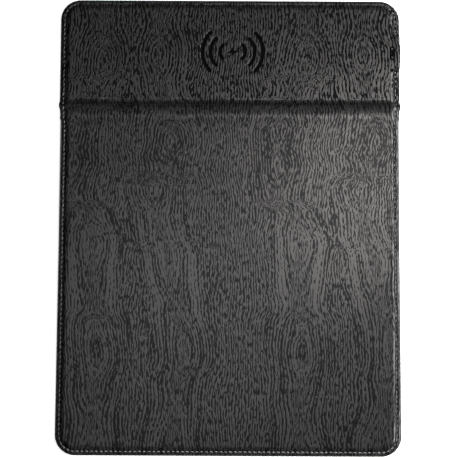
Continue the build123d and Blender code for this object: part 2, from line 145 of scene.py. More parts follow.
# ------ the embossed figure
REPEAT = 141.0            # the roll's pattern repeats across the mat
RING_STRETCH = 0.52       # below 1 the rings grow longer up the mat
# two lines of figures in one repeat: (y, x, half width of the innermost ring)
FIGURES = (
    ((175, 52, 14), (140, 53, 22), (114, 54, 2), (90, 44, 19), (78, 36, 12), (65, 33, 1.5),
     (53, 33, 9), (41, 33.5, 1.5), (20, 31, 14), (8, 44, 22), (-12, 49, 7), (-34, 49, 15),
     (-57, 50, 22), (-70, 50, 9), (-86, 50, 1.5), (-110, 49, 15), (-132, 48, 21), (-170, 47, 8)),
    ((175, -48, 10), (140, -49, 20), (117, -50, 5), (98, -47, 17), (80, -43, 20), (58, -41, 3),
     (38, -45, 16), (25, -52, 4), (5, -50, 16), (-25, -42, 9), (-55, -36, 17), (-86, -31, 6),
     (-120, -36, 18), (-170, -40, 8)),
)


# ------ small formulas
def smooth(t):
    t = np.clip(t, 0.0, 1.0)
    return t * t * (3.0 - 2.0 * t)


def climb(value, low, high):
    """0 before low, 1 after high, smooth in between."""
    return smooth((value - low) / (high - low))


def hump(value, middle, half):
    return np.exp(-((value - middle) / half) ** 2)


def glide(value, stops, heights):
    """Smooth curve through (stop, height) pairs whose stops fall."""
    stops, heights = np.array(stops[::-1], float), np.array(heights[::-1], float)
    index = np.clip(np.searchsorted(stops, value) - 1, 0, len(stops) - 2)
    share = smooth((value - stops[index]) / (stops[index + 1] - stops[index]))
    return heights[index] * (1 - share) + heights[index + 1] * share


def inset_of(x, y):
    """Distance in from the mat's outline."""
    qx = np.abs(x) - (EDGE_X - CORNER_R)
    qy = np.abs(y) - (EDGE_Y - CORNER_R)
    outside = np.hypot(np.maximum(qx, 0), np.maximum(qy, 0))
    return CORNER_R - outside - np.minimum(np.maximum(qx, qy), 0)


def near_port(x, y):
    """1 where the edge stays high over the socket."""
    share = climb(y, *PORT_Y_RISE) * (1 - climb(y, *PORT_Y_FALL))
    return share * climb(x, PORT_CORNER_X, PORT_CORNER_X + 3.0)


def pinched(y):
    """How much of its height the sewn edge keeps across the fold."""
    return 1 - PINCH * hump(y, FOLD_Y + 0.6, 1.7)


def ceiling(y):
    """Height of the leather away from the edges."""
    mat = MAT_TOP - SCORE_DEPTH * hump(y, SCORE_Y, SCORE_HALF)
    mat = mat - RAMP_DEPTH * np.clip((y - RAMP_Y[0]) / (RAMP_Y[1] - RAMP_Y[0]), 0, 1) ** 1.9
    valley = mat + (VALLEY_Z - mat) * np.clip((y - SLIT_Y) / (FOLD_Y - SLIT_Y), 0, 1) ** 2
    rise = np.clip((y - WALL_Y[0]) / (WALL_Y[1] - WALL_Y[0]), 0, 1)
    panel = PANEL_TOP - PANEL_SAG * np.clip((y - WALL_Y[1]) / (EDGE_Y - WALL_Y[1]), 0, 1) ** 1.3
    return valley + (panel - VALLEY_Z) * (1 - (1 - rise) ** 2.3)


def waviness(x, y):
    """The slight unevenness of a hand-laid cover."""
    return 0.05 * (np.sin(x / 17.0 + 0.6) * np.sin(y / 23.0 + 1.1)
                   + np.sin(x / 9.0 + y / 31.0) * 0.6 + np.sin(y / 11.0 - x / 41.0 + 2.0) * 0.5)


def segment_distance(x, y, a, b):
    ax, ay = x - a[0], y - a[1]
    bx, by = b[0] - a[0], b[1] - a[1]
    share = np.clip((ax * bx + ay * by) / (bx * bx + by * by), 0, 1)
    return np.hypot(ax - bx * share, ay - by * share)


def polygon_distance(x, y, points):
    """Signed distance to a polygon, negative inside."""
    distance = np.full(np.shape(x), 1e9)
    inside = np.zeros(np.shape(x), bool)
    for a, b in zip(points, points[1:] + points[:1]):
        distance = np.minimum(distance, segment_distance(x, y, a, b))
        if a[1] != b[1]:
            crosses = (a[1] > y) != (b[1] > y)
            inside ^= crosses & (x < (b[0] - a[0]) * (y - a[1]) / (b[1] - a[1]) + a[0])
    return np.where(inside, -distance, distance)


def arc_distance(x, y, side, radius):
    """Distance to the middle of one wave of the symbol."""
    px, py = (x - side * ARC_SHIFT) * side, y - COIL_Y
    angle = np.clip(np.arctan2(py, px), -ARC_HALF, ARC_HALF)
    return np.hypot(px - radius * np.cos(angle), py - radius * np.sin(angle))


def groove(distance, half_width, soft):
    """1 inside a pressed line, falling to 0 at its side."""
    return 1 - climb(distance, half_width - soft, half_width + soft)


def symbol_depth(x, y):
    """Depth of the pressed waves and bolt, from 0 to 1."""
    x = x - MARK_X
    depth = groove(polygon_distance(x, y - COIL_Y, BOLT), 0.05, 0.3)
    for side in (-1, 1):
        for radius in ARC_RADII:
            depth = np.maximum(depth, groove(arc_distance(x, y, side, radius), ARC_W / 2, 0.3))
    return depth


def port_marks_depth(x, y):
    """Depth of the socket mark, the light's hole and the hole at the seam's end."""
    half = ICON_L / 2 - ICON_W / 2
    spine = segment_distance(x, y, (ICON_X, PORT_Y - half), (ICON_X, PORT_Y + half))
    ring = np.abs(spine - (ICON_W - ICON_LINE) / 2)
    tongue = segment_distance(x, y, (ICON_X, PORT_Y - half * 0.7), (ICON_X, PORT_Y + half * 0.7))
    depth = 0.9 * groove(np.minimum(ring, tongue), ICON_LINE / 2 + 0.15, 0.2)
    pit = groove(np.hypot(x - PIPE_X, y - PIPE_Y), 1.15, 0.3)
    end = groove(np.hypot(x - SEAM_END[0], y - SEAM_END[1]), 1.1, 0.35)
    return np.maximum(depth, np.maximum(pit * 0.85, end * 1.4))


def cover_height(x, y):
    """Height of the cover inside the seam."""
    port = near_port(x, y)
    foot = RIM[-1][1] * pinched(y) * (1 - port) + PORT_RIM[-1][1] * port
    width = PILLOW_W[0] + (PILLOW_W[1] - PILLOW_W[0]) * climb(y, *WALL_Y)
    share = np.clip((inset_of(x, y) - RIM[-1][0]) / width, 0, 1)
    share = 1 - (1 - share) ** 2.5
    height = foot + (ceiling(y) - foot) * share + waviness(x, y) * share
    return height - MARK_DEPTH * (symbol_depth(x, y) + port_marks_depth(x, y))


def settle(points):
    """Moves points sideways with the cover: waisted sides, and a pucker beside each crease."""
    x, y = points[:, 0], points[:, 1]
    below = climb(-y, -WAIST_START - 10, -WAIST_START + 2)
    along = np.clip((WAIST_START - y) / (WAIST_START - WAIST_END), 0, 1)
    push = -WAIST * below * (1 - along) ** 1.1
    for middle, half, share in PUCKERS:
        push = push + PUCKER * share * hump(y, middle, half)
    fade = smooth((np.abs(x) - EDGE_X + 16) / 15)
    moved = points.copy()
    moved[:, 0] = x + np.sign(x) * push * fade
    return moved


def figure_parts(x, y):
    """Each line of figures at a point: distance across to its axis, and its rings' half width."""
    for line in FIGURES:
        stops = [spot[0] for spot in line]
        axis = glide(y, stops, [spot[1] for spot in line])
        across = (x - axis + REPEAT / 2) % REPEAT - REPEAT / 2
        yield across, axis - line[0][1], glide(y, stops, [spot[2] for spot in line])


def ring_field(x, y):
    """The wood figure's growth rings are the lines where this field is constant."""
    fields = []
    for across, drift, width in figure_parts(x, y):
        sway = 0.4 * np.sin(y / 7.3 + x / 60) + 0.9 * np.sin(y / 17.0 + drift)
        fields.append(np.hypot(across + sway, RING_STRETCH * width + 0.5))
    blend = 0.22
    field = -np.log(sum(np.exp(-blend * part) for part in fields)) / blend
    ripple = np.sin(x / 6.1 + y / 13.0) * np.sin(y / 9.0 - x / 15.0)
    return field + 0.4 * ripple + 1.2 * np.sin(y / 29.0 + x / 19.0)


def pore_field(x, y):
    """The pores run along the lines where this field is constant: nearly straight up the mat."""
    field = x + 1.3 * np.sin(y / 31.0 + x / 43.0) + 0.5 * np.sin(y / 12.0 + x / 17.0)
    for across, _, width in figure_parts(x, y):
        reach = np.maximum(width, 9.0)
        window = np.cos(math.pi * across / REPEAT) ** 2
        field = field + window * 0.5 * width ** 2 * across / (across ** 2 + reach ** 2)
    return field


# ------ mesh making
class Sheet:
    """Collects points and faces of one sheet made of grids, rings and the bands that join them."""

    def __init__(self):
        self.points = []
        self.faces = []
        self.count = 0

    def add(self, points):
        """Adds an array of points and returns their indices in the same layout."""
        flat = np.asarray(points, float).reshape(-1, 3)
        first = self.count
        self.points.append(flat)
        self.count += len(flat)
        return np.arange(first, self.count).reshape(np.shape(points)[:-1])

    def quads(self, index, closed=False, holes=()):
        """Faces over a 2-D layout of indices, with rectangular holes (rows, then columns)."""
        rows, columns = index.shape
        last = columns if closed else columns - 1
        keep = np.ones((rows - 1, last), bool)
        for r0, r1, c0, c1 in holes:
            keep[r0:r1, c0:c1] = False
        for r, c in zip(*np.nonzero(keep)):
            d = (c + 1) % columns
            self.faces.append((index[r, c], index[r, d], index[r + 1, d], index[r + 1, c]))

    def tube(self, rings):
        """A closed body through rings of points, capped at both ends; returns its indices."""
        index = self.add(rings)
        self.quads(index, closed=True)
        self.faces += [tuple(index[0][::-1]), tuple(index[-1])]
        return index

    def join(self, loop_a, loop_b):
        """Triangles between two closed loops that run side by side."""
        spots = np.concatenate(self.points)
        a, b = np.array(loop_a), np.array(loop_b)
        start = np.argmin(np.linalg.norm(spots[b] - spots[a[0]], axis=1))
        b = np.roll(b, -start)
        pa, pb = spots[np.append(a, a[0])], spots[np.append(b, b[0])]
        a, b = np.append(a, a[0]), np.append(b, b[0])
        i = j = 0
        while i < len(a) - 1 or j < len(b) - 1:
            ahead_a = np.linalg.norm(pa[i + 1] - pb[j]) if i < len(a) - 1 else 1e9
            ahead_b = np.linalg.norm(pb[j + 1] - pa[i]) if j < len(b) - 1 else 1e9
            if ahead_a <= ahead_b:
                self.faces.append((a[i], a[i + 1], b[j]))
                i += 1
            else:
                self.faces.append((a[i], b[j + 1], b[j]))
                j += 1

    def all_points(self):
        return np.concatenate(self.points)

    def build(self, name, uvs=None, flat_shaded=False):
        return make_object(name, self.all_points(), self.faces, uvs, flat_shaded)


def border(index, r0, r1, c0, c1):
    """Indices round a rectangle of a 2-D layout, as a closed loop."""
    south, north = index[r0, c0:c1], index[r1, c1:c0:-1]
    east, west = index[r0:r1, c1], index[r1:r0:-1, c0]
    return np.concatenate([south, east, north, west])


def spaced(low, high, pitch_at):
    """Values from low to high whose spacing follows pitch_at."""
    values = [low]
    while values[-1] < high:
        values.append(values[-1] + pitch_at(values[-1]))
    values = np.array(values)
    return low + (values - low) * (high - low) / (values[-1] - low)


def runs(stops, counts):
    """Evenly spaced values from stop to stop, with so many steps between each two."""
    parts = [np.linspace(a, b, count + 1)[:-1] for a, b, count in zip(stops, stops[1:], counts)]
    return np.append(np.concatenate(parts), stops[-1])


def arc(x, y, radius, start, sweep, steps):
    """Points along an arc about (x, y)."""
    angles = [start + sweep * step / steps for step in range(steps + 1)]
    return [(x + radius * math.cos(a), y + radius * math.sin(a)) for a in angles]


def stadium(length, width, steps):
    """Points round a slot with round ends, about its middle."""
    half, quarter = (length - width) / 2, math.pi / 2
    right = arc(half, 0, width / 2, -quarter, math.pi, steps)
    return right + arc(-half, 0, width / 2, quarter, math.pi, steps)


def add_to_scene(name, data):
    made = bpy.data.objects.new(name, data)
    bpy.context.scene.collection.objects.link(made)
    return made


def make_object(name, points, faces, uvs=None, flat_shaded=False):
    """A mesh object from points in millimetres; uvs maps a layer's name to one (u, v) per point."""
    mesh = bpy.data.meshes.new(name)
    mesh.from_pydata((np.asarray(points) * MM).tolist(), [], [tuple(map(int, f)) for f in faces])
    shape = bmesh.new()
    shape.from_mesh(mesh)
    bmesh.ops.recalc_face_normals(shape, faces=shape.faces)
    shape.to_mesh(mesh)
    shape.free()
    if uvs:
        corners = np.zeros(len(mesh.loops), int)
        mesh.loops.foreach_get("vertex_index", corners)
        for layer, values in uvs.items():
            uv = mesh.uv_layers.new(name=layer)
            uv.data.foreach_set("uv", np.asarray(values, np.float32)[corners].ravel())
    for polygon in mesh.polygons:
        polygon.use_smooth = not flat_shaded
    return add_to_scene(name, mesh)


def turn_faces(made, side):
    """Turns a sheet's faces so that most look up, with side 1, or down, with side -1."""
    total = sum(polygon.normal.z * polygon.area for polygon in made.data.polygons)
    if total * side < 0:
        made.data.flip_normals()


# ------ the outline
def outline(pitch_at):
    """Points round the outline: the corner centre or foot of each, and its outward normal."""
    in_x, in_y = EDGE_X - CORNER_R, EDGE_Y - CORNER_R
    xs = spaced(-in_x, in_x, lambda v: pitch_at(v, -EDGE_Y))
    right = spaced(-in_y, in_y, lambda v: pitch_at(EDGE_X, v))
    left = spaced(-in_y, in_y, lambda v: pitch_at(-EDGE_X, v))
    corner_steps = max(6, int(math.pi / 2 * CORNER_R / pitch_at(0, EDGE_Y)))
    sides = (([(x, -in_y) for x in xs], (0, -1)), ([(in_x, y) for y in right], (1, 0)),
             ([(x, in_y) for x in xs[::-1]], (0, 1)), ([(-in_x, y) for y in left[::-1]], (-1, 0)))
    feet, normals = [], []
    for number, (side, normal) in enumerate(sides):
        angles = [math.pi / 2 * (number - 1 + step / corner_steps) for step in range(1, corner_steps)]
        feet += side + [side[-1]] * len(angles)
        normals += [normal] * len(side) + [(math.cos(a), math.sin(a)) for a in angles]
    return np.array(feet), np.array(normals)


def on_outline(feet, normals, inset):
    return feet + normals * (CORNER_R - np.asarray(inset))[..., None]


def path_length(points):
    """Length run so far at each point of a closed path."""
    steps = np.linalg.norm(np.diff(points, axis=0), axis=1)
    return np.concatenate(([0.0], np.cumsum(steps)))


def on_path(path, run, spot, step):
    """The point after a length of spot, and the direction from there to a point a step on."""
    here, ahead = (np.array([np.interp(at, run, path[:, axis]) for axis in (0, 1)])
                   for at in (spot, spot + step))
    return here, (ahead - here) / np.linalg.norm(ahead - here)


def stitch_count(length):
    return int(round(length / STITCH_PITCH))


# ------ cover leather
def rim_rings(feet, normals):
    """The sewn edge as rings of points, from under the rim to inside the seam."""
    seam = on_outline(feet, normals, SEAM_INSET)
    run = path_length(seam)
    total = run[-1] + np.linalg.norm(seam[0] - seam[-1])
    phase = run / total * stitch_count(total)
    hole = np.abs(phase - np.round(phase)) * STITCH_PITCH
    port = near_port(seam[:, 0], seam[:, 1])
    pinch = pinched(seam[:, 1])
    in_gap = (seam[:, 0] > 0) & (seam[:, 1] > SEAM_PORT[0]) & (seam[:, 1] < SEAM_PORT[1])
    dimple = np.where(in_gap, 0.0, np.exp(-(hole / HOLE_R) ** 2))
    rings = []
    for (inset, height), (port_inset, port_height) in zip(RIM, PORT_RIM):
        at = inset * (1 - port) + port_inset * port
        z = RIM[0][1] + (height - RIM[0][1]) * pinch
        z = z * (1 - port) + port_height * port
        z = z - dimple * (0.24 * hump(at, SEAM_INSET + 0.05, 0.5) + 0.10 * hump(at, 1.5, 0.8))
        at = at + 0.07 * dimple * hump(at, 0.0, 0.9)
        flat = on_outline(feet, normals, at)
        rings.append(np.column_stack([flat, z]))
    return np.array(rings)


def cover_points(xy):
    """Points on the cover over an array of (x, y)."""
    x, y = xy[..., 0], xy[..., 1]
    return np.stack([x, y, cover_height(x, y)], axis=-1)


RIM_PITCH, RIM_FOLD_PITCH = 0.5, 0.36
SLOPE_PITCH, PORT_PITCH = 1.8, 0.7
FIELD_PITCH, FOLD_PITCH, WALL_PITCH = 1.9, 0.45, 0.2
MARKS_PITCH, SYMBOL_PITCH = 0.24, 0.3
MARKS_Y = (PORT_Y - 13.3, PORT_Y + 12.7)
JOIN_GAP = 1.3            # room for the triangles round a fine patch


def fine_pitch(x, y):
    on_fold = abs(x) > EDGE_X - 1 and FOLD_Y - 9 < y < FOLD_Y + 6
    return RIM_FOLD_PITCH if on_fold else RIM_PITCH


def coarse_pitch(x, y):
    if abs(x) > EDGE_X - 1 and FOLD_Y - 16 < y < FOLD_Y + 6:
        return FOLD_PITCH
    if x > EDGE_X - 1 and PORT_Y_RISE[0] - 1 < y < PORT_Y_FALL[1] + 1:
        return PORT_PITCH
    return SLOPE_PITCH


def row_pitch(y):
    if FOLD_Y + 1.8 < y < FOLD_Y + 5:
        return WALL_PITCH
    if FOLD_Y - 16 < y < FOLD_Y + 7:
        return FOLD_PITCH
    return FIELD_PITCH


def patch(sheet, low, high, pitch):
    """A fine rectangle of the cover; returns its border."""
    xs, ys = (np.linspace(a, b, int(round((b - a) / pitch)) + 1) for a, b in zip(low, high))
    index = sheet.add(cover_points(np.stack(np.meshgrid(xs, ys), axis=-1)))
    sheet.quads(index)
    return border(index, 0, len(ys) - 1, 0, len(xs) - 1)


def leather_cover():
    """The whole cover: one sheet over the mat, the fold and the charger panel."""
    sheet = Sheet()
    rings = rim_rings(*outline(fine_pitch))
    rim = sheet.add(rings)
    seam = rings[0]
    mouth = (seam[:, 0] > EDGE_X - 3) & (np.abs(seam[:, 1] - PORT_Y) < BEZEL_W / 2 - 0.3)
    spots = np.nonzero(mouth)[0]
    sheet.quads(rim, closed=True, holes=[(2, 5, spots[0], spots[-1])])

    feet, normals = outline(coarse_pitch)
    slope = sheet.add(cover_points(on_outline(feet, normals, SLOPE_INSETS[:, None])))
    marks_low = (EDGE_X - SLOPE_INSETS[-2] + 0.55, MARKS_Y[0])
    marks_high = (EDGE_X - SLOPE_INSETS[0] - 0.2, MARKS_Y[1])
    on_side = (normals[:, 0] > 0.99) & (np.abs(feet[:, 1] - PORT_Y + 0.3) < 14.0)
    side = np.nonzero(on_side)[0]
    hole = (0, len(SLOPE_INSETS) - 2, side[0], side[-1])
    sheet.quads(slope, closed=True, holes=[hole])
    sheet.join(rim[-1], slope[0])
    sheet.join(border(slope, *hole), patch(sheet, marks_low, marks_high, MARKS_PITCH))

    in_x, in_y = EDGE_X - CORNER_R + 0.6, EDGE_Y - CORNER_R + 0.6
    xs, ys = spaced(-in_x, in_x, lambda v: FIELD_PITCH), spaced(-in_y, in_y, row_pitch)
    field = sheet.add(cover_points(np.stack(np.meshgrid(xs, ys), axis=-1)))
    reach = ARC_SHIFT + ARC_RADII[-1] + ARC_W
    tall = (ARC_RADII[-1] + ARC_W) * math.sin(ARC_HALF) + 1.0
    columns = np.nonzero(np.abs(xs - MARK_X) < reach + 2.4)[0]
    rows = np.nonzero(np.abs(ys - COIL_Y) < tall + 2.4)[0]
    hole = (rows[0], rows[-1], columns[0], columns[-1])
    sheet.quads(field, holes=[hole])
    sheet.join(slope[-1], border(field, 0, len(ys) - 1, 0, len(xs) - 1))
    low = (xs[columns[0]] + JOIN_GAP, ys[rows[0]] + JOIN_GAP)
    high = (xs[columns[-1]] - JOIN_GAP, ys[rows[-1]] - JOIN_GAP)
    sheet.join(border(field, *hole), patch(sheet, low, high, SYMBOL_PITCH))

    points = sheet.all_points()
    x, y = points[:, 0], points[:, 1]
    step = 0.8
    steepness = (ring_field(x, y + step) - ring_field(x, y - step)) / (2 * step)
    sideways = (ring_field(x + step, y) - ring_field(x - step, y)) / (2 * step)
    clarity = np.hypot(steepness, sideways)
    made = make_object("leather_cover", settle(points), sheet.faces, {
        "rest": points[:, :2] * MM,
        "grain": np.column_stack([ring_field(x, y), pore_field(x, y)]) * MM,
        "slope": np.column_stack([np.clip(steepness, -0.6, 0.6), clarity]),
        "marks": np.column_stack([symbol_depth(x, y), port_marks_depth(x, y)])})
    turn_faces(made, 1)
    return made


# ------ stitching
def stitch_rings(centre, along, rise, length, radius, slant):
    """Rings of points of one stitch, arched up and dipping into the leather at its ends."""
    turned = np.array([along[0] * math.cos(slant) - along[1] * math.sin(slant),
                       along[0] * math.sin(slant) + along[1] * math.cos(slant), 0.0])
    across = np.array([-turned[1], turned[0], 0.0])
    up = np.array([0.0, 0.0, 1.0])
    rings = []
    for share in np.linspace(-1, 1, 9):
        middle = centre + turned * share * length / 2 + up * (rise - 0.62 * abs(share) ** 3.2)
        thick = radius * (0.55 + 0.45 * math.sqrt(max(0.0, 1 - share ** 4)))
        angles = np.linspace(0, 2 * math.pi, 8, endpoint=False)
        rings.append([middle + across * math.cos(a) * thick + up * math.sin(a) * thick for a in angles])
    return np.array(rings)


def add_stitch(sheet, uv, rings):
    rows, columns = sheet.tube(rings).shape
    along, around = np.meshgrid(np.arange(rows) / rows, np.arange(columns) / columns, indexing="ij")
    uv.append(np.column_stack([along.ravel(), around.ravel()]))


def seam_stitches():
    """Every stitch of the seam round the mat, as thread."""
    sheet, uv = Sheet(), []
    feet, normals = outline(lambda x, y: RIM_PITCH)
    seam = on_outline(feet, normals, SEAM_INSET)
    loop = np.vstack([seam, seam[:1]])
    run = path_length(loop)
    count = stitch_count(run[-1])
    for number in range(count):
        (x, y), along = on_path(loop, run, (number + 0.5) / count * run[-1], 0.4)
        if x > 0 and SEAM_PORT[0] < y < SEAM_PORT[1]:
            continue
        port = near_port(x, y)
        floor = RIM[0][1] + (RIM[SEAM_RING][1] - RIM[0][1]) * pinched(y)
        floor = floor * (1 - port) + PORT_RIM[SEAM_RING][1] * port
        far, near = climb(y, EDGE_Y - 8, EDGE_Y - 3.5), climb(-y, EDGE_Y - 8, EDGE_Y - 3.5)
        right = climb(x, EDGE_X - 8, EDGE_X - 3.5)
        rise = STITCH_RISE - SINK_FAR * far - SINK_NEAR * near - SINK_RIGHT * right - SINK_PORT * port
        slant = STITCH_SLANT + STITCH_SWAY * math.sin(number * 2.4)
        rings = stitch_rings(np.array([x, y, floor]), along, rise, STITCH_L, STITCH_R, slant)
        add_stitch(sheet, uv, rings)
    return make_object("seam_stitches", settle(sheet.all_points()), sheet.faces,
                       {"thread": np.concatenate(uv)})


# ------ underside
def under_pitch(x, y):
    return 1.2 if abs(y - FOLD_Y) < 5 and abs(x) > EDGE_X - 1 else 2.4


def underside_skin():
    """The non-slip sheet under the mat, with the window for the stand flap."""
    sheet = Sheet()
    feet, normals = outline(under_pitch)
    rim = sheet.add([[(x, y, height) for x, y in on_outline(feet, normals, inset)]
                     for inset, height in UNDER_RIM])
    sheet.quads(rim, closed=True)
    in_x, in_y = EDGE_X - CORNER_R + 0.6, EDGE_Y - 6.9
    window_x, window_y0 = FLAP_HIGH[0] + 0.6, FLAP_LOW[1] - 0.4
    window_y1 = min(FLAP_HIGH[1] + 1.95, in_y - 0.5)
    column_counts, row_counts = (12, 14, 12), (39, 12, 3, 11, 1)
    xs = runs((-in_x, -window_x, window_x, in_x), column_counts)
    ys = runs((-in_y, FOLD_Y - 3, FOLD_Y + 3, window_y0, window_y1, in_y), row_counts)
    flat = np.stack(np.meshgrid(xs, ys), axis=-1)
    field = sheet.add(np.concatenate([flat, np.zeros(flat.shape[:2] + (1,))], axis=-1))
    hole = (sum(row_counts[:3]), sum(row_counts[:4]), column_counts[0], sum(column_counts[:2]))
    sheet.quads(field, holes=[hole])
    sheet.join(rim[-1], border(field, 0, len(ys) - 1, 0, len(xs) - 1))
    spots = sheet.all_points()[border(field, *hole)]
    wall = sheet.add([spots + (0, 0, height) for height in (0.0, 0.6)])
    sheet.quads(wall, closed=True)
    points = sheet.all_points()
    made = make_object("underside_skin", settle(points), sheet.faces, {"rest": points[:, :2] * MM})
    turn_faces(made, -1)
    return made


# ------ socket
def slot_loft(name, sections, caps):
    """A body through rounded slots at (x, width, height); without caps, its last joins its first."""
    sheet = Sheet()
    loops = [[(x, PORT_Y + y, PORT_Z + z) for y, z in stadium(width, height, 14)]
             for x, width, height in sections]
    if caps:
        sheet.tube(loops)
    else:
        index = sheet.add(loops)
        sheet.quads(index, closed=True)
        sheet.quads(index[[-1, 0]], closed=True)
    return sheet.build(name)


def slots(width, height, spots):
    """Sections of one slot, at (x, how much wider and higher it is there)."""
    return [(x, width + grow, height + grow) for x, grow in spots]


def socket_bezel():
    back, front = BEZEL_LOW[0], EDGE_X
    inner = slots(SOCKET_W + 0.16, SOCKET_H + 0.16, (
        (back, 0.0), (front - 0.1, 0.0), (front + 0.15, 0.3), (front + 0.28, 0.7)))
    outer = slots(BEZEL_W, BEZEL_H, (
        (front + 0.3, -0.3), (front + 0.22, 0.1), (front + 0.06, 0.3), (front - 0.08, 0.3),
        (front - 0.1, 0.0), (back, 0.0)))
    return slot_loft("socket_bezel", inner + outer, caps=False)


def socket_shell():
    back, front = SOCKET_LOW[0], SOCKET_HIGH[0]
    return slot_loft("socket_shell", slots(SOCKET_W, SOCKET_H, (
        (back, -0.4), (back + 0.15, 0.0), (front - 0.12, 0.0), (front - 0.02, -0.12), (front, -0.3),
        (front - 0.02, -0.48), (front - 0.14, -0.6), (back + 1.0, -0.6))), caps=True)


CONTACTS, CONTACT_PITCH = 12, 0.5
CONTACT_W, CONTACT_T = 0.26, 0.03


def socket_contacts():
    """Two rows of contact pads on the tongue."""
    sheet = Sheet()
    x0, x1 = TONGUE_HIGH[0] - 4.0, TONGUE_HIGH[0] - 0.5
    for face in (-1, 1):
        z0 = TONGUE_HIGH[2] if face > 0 else TONGUE_LOW[2]
        for number in range(CONTACTS):
            y = PORT_Y + (number - (CONTACTS - 1) / 2) * CONTACT_PITCH
            y0, y1 = y - CONTACT_W / 2, y + CONTACT_W / 2
            sheet.tube([[(x0, y0, z), (x1, y0, z), (x1, y1, z), (x0, y1, z)]
                        for z in (z0, z0 + face * CONTACT_T)])
    return sheet.build("socket_contacts", flat_shaded=True)


# ------ charger coil
COIL_TURNS, TURN_STEPS = 11, 56
COIL_INNER_R, WIRE_W, WIRE_T = 10.4, 0.96, 0.49


def coil_winding():
    """The transmitting coil as wound wire, in two flat layers."""
    outer = (COIL_HIGH[0] - COIL_LOW[0]) / 2 - 0.3
    sheet = Sheet()
    total = COIL_TURNS * TURN_STEPS
    for layer_z in (COIL_LOW[2] + WIRE_T / 2, COIL_HIGH[2] - WIRE_T / 2):
        rings = []
        for step in range(total + 1):
            angle = 2 * math.pi * step / TURN_STEPS
            radius = COIL_INNER_R + (outer - COIL_INNER_R) * step / total
            out = np.array([math.cos(angle), math.sin(angle), 0.0])
            middle = np.array([0.0, COIL_Y, layer_z]) + out * radius
            rings.append([middle + out * math.cos(a) * WIRE_W / 2 + (0, 0, math.sin(a) * WIRE_T / 2)
                          for a in np.linspace(0, 2 * math.pi, 6, endpoint=False)])
        sheet.tube(rings)
    return sheet.build("coil_winding")


# ------ stand flap
NOTCH_R, FLAP_CORNER_R = 7.0, 4.0
FOOT_L = 20.0
FLAP_STITCH_PITCH = 3.0


def flap_outline(inset):
    """The flap's outline: rounded free corners and a round finger notch in the free end."""
    x = FLAP_HIGH[0] - inset
    y0, y1 = FLAP_LOW[1] + inset, FLAP_HIGH[1] - inset
    radius, notch = FLAP_CORNER_R - inset, NOTCH_R + inset
    lead = math.asin(inset / notch)
    left_corner = arc(-x + radius, y0 + radius, radius, math.pi, math.pi / 2, 8)
    right_corner = arc(x - radius, y0 + radius, radius, -math.pi / 2, math.pi / 2, 8)
    finger_notch = arc(0, FLAP_LOW[1], notch, math.pi - lead, 2 * lead - math.pi, 24)
    return [(x, y1), (-x, y1)] + left_corner + finger_notch + right_corner


def flap_plate(name, sections):
    """A plate through outlines at (inset, height), with flat caps."""
    sheet = Sheet()
    sheet.tube([[(x, y, height) for x, y in flap_outline(inset)] for inset, height in sections])
    made = sheet.build(name, {"rest": sheet.all_points()[:, :2] * MM})
    for polygon in made.data.polygons:
        polygon.use_smooth = len(polygon.vertices) < 5
    return made


def flap_leather():
    rim = [(0.75, 0.02), (0.45, 0.06), (0.2, 0.2), (0.04, 0.45), (0.0, 0.8)]
    return flap_plate("flap_leather", rim + [(0.0, FLAP_HIGH[2])])


def flap_lining():
    base, top = LINING_LOW[2], LINING_HIGH[2]
    return flap_plate("flap_lining", [(0.02, base), (0.02, top - 0.22), (0.12, top - 0.07), (0.35, top)])


def flap_stitches():
    """Stitching round the flap's free sides, on its outer face."""
    sheet, uv = Sheet(), []
    path = np.array(flap_outline(2.0))
    path = np.vstack([path[1:], path[:1]])
    run = path_length(path)
    count = int(run[-1] / FLAP_STITCH_PITCH)
    for number in range(count):
        here, along = on_path(path, run, (number + 0.5) / count * run[-1], 0.3)
        rings = stitch_rings(np.array([*here, 0.0]), along, 0.0, 2.4, 0.2, 0.0)
        rings[..., 2] = np.maximum(-rings[..., 2] * 0.6 + 0.13, 0.004)
        add_stitch(sheet, uv, rings)
    return sheet.build("flap_stitches", {"thread": np.concatenate(uv)})


def flap_feet():
    """Two soft strips at the flap's free end, with rounded edges."""
    sheet = Sheet()
    width = FOOT_HIGH[1] - FOOT_LOW[1]
    middle_y = (FOOT_LOW[1] + FOOT_HIGH[1]) / 2
    for side in (-1, 1):
        middle_x = side * (FOOT_HIGH[0] - FOOT_L / 2)
        sheet.tube([[(middle_x + x, middle_y + y, height)
                     for x, y in stadium(FOOT_L - 2 * inset, width - 2 * inset, 8)]
                    for inset, height in ((0.0, FOOT_HIGH[2]), (0.0, 0.12), (0.12, 0.03), (0.35, 0.004))])
    return sheet.build("flap_feet")


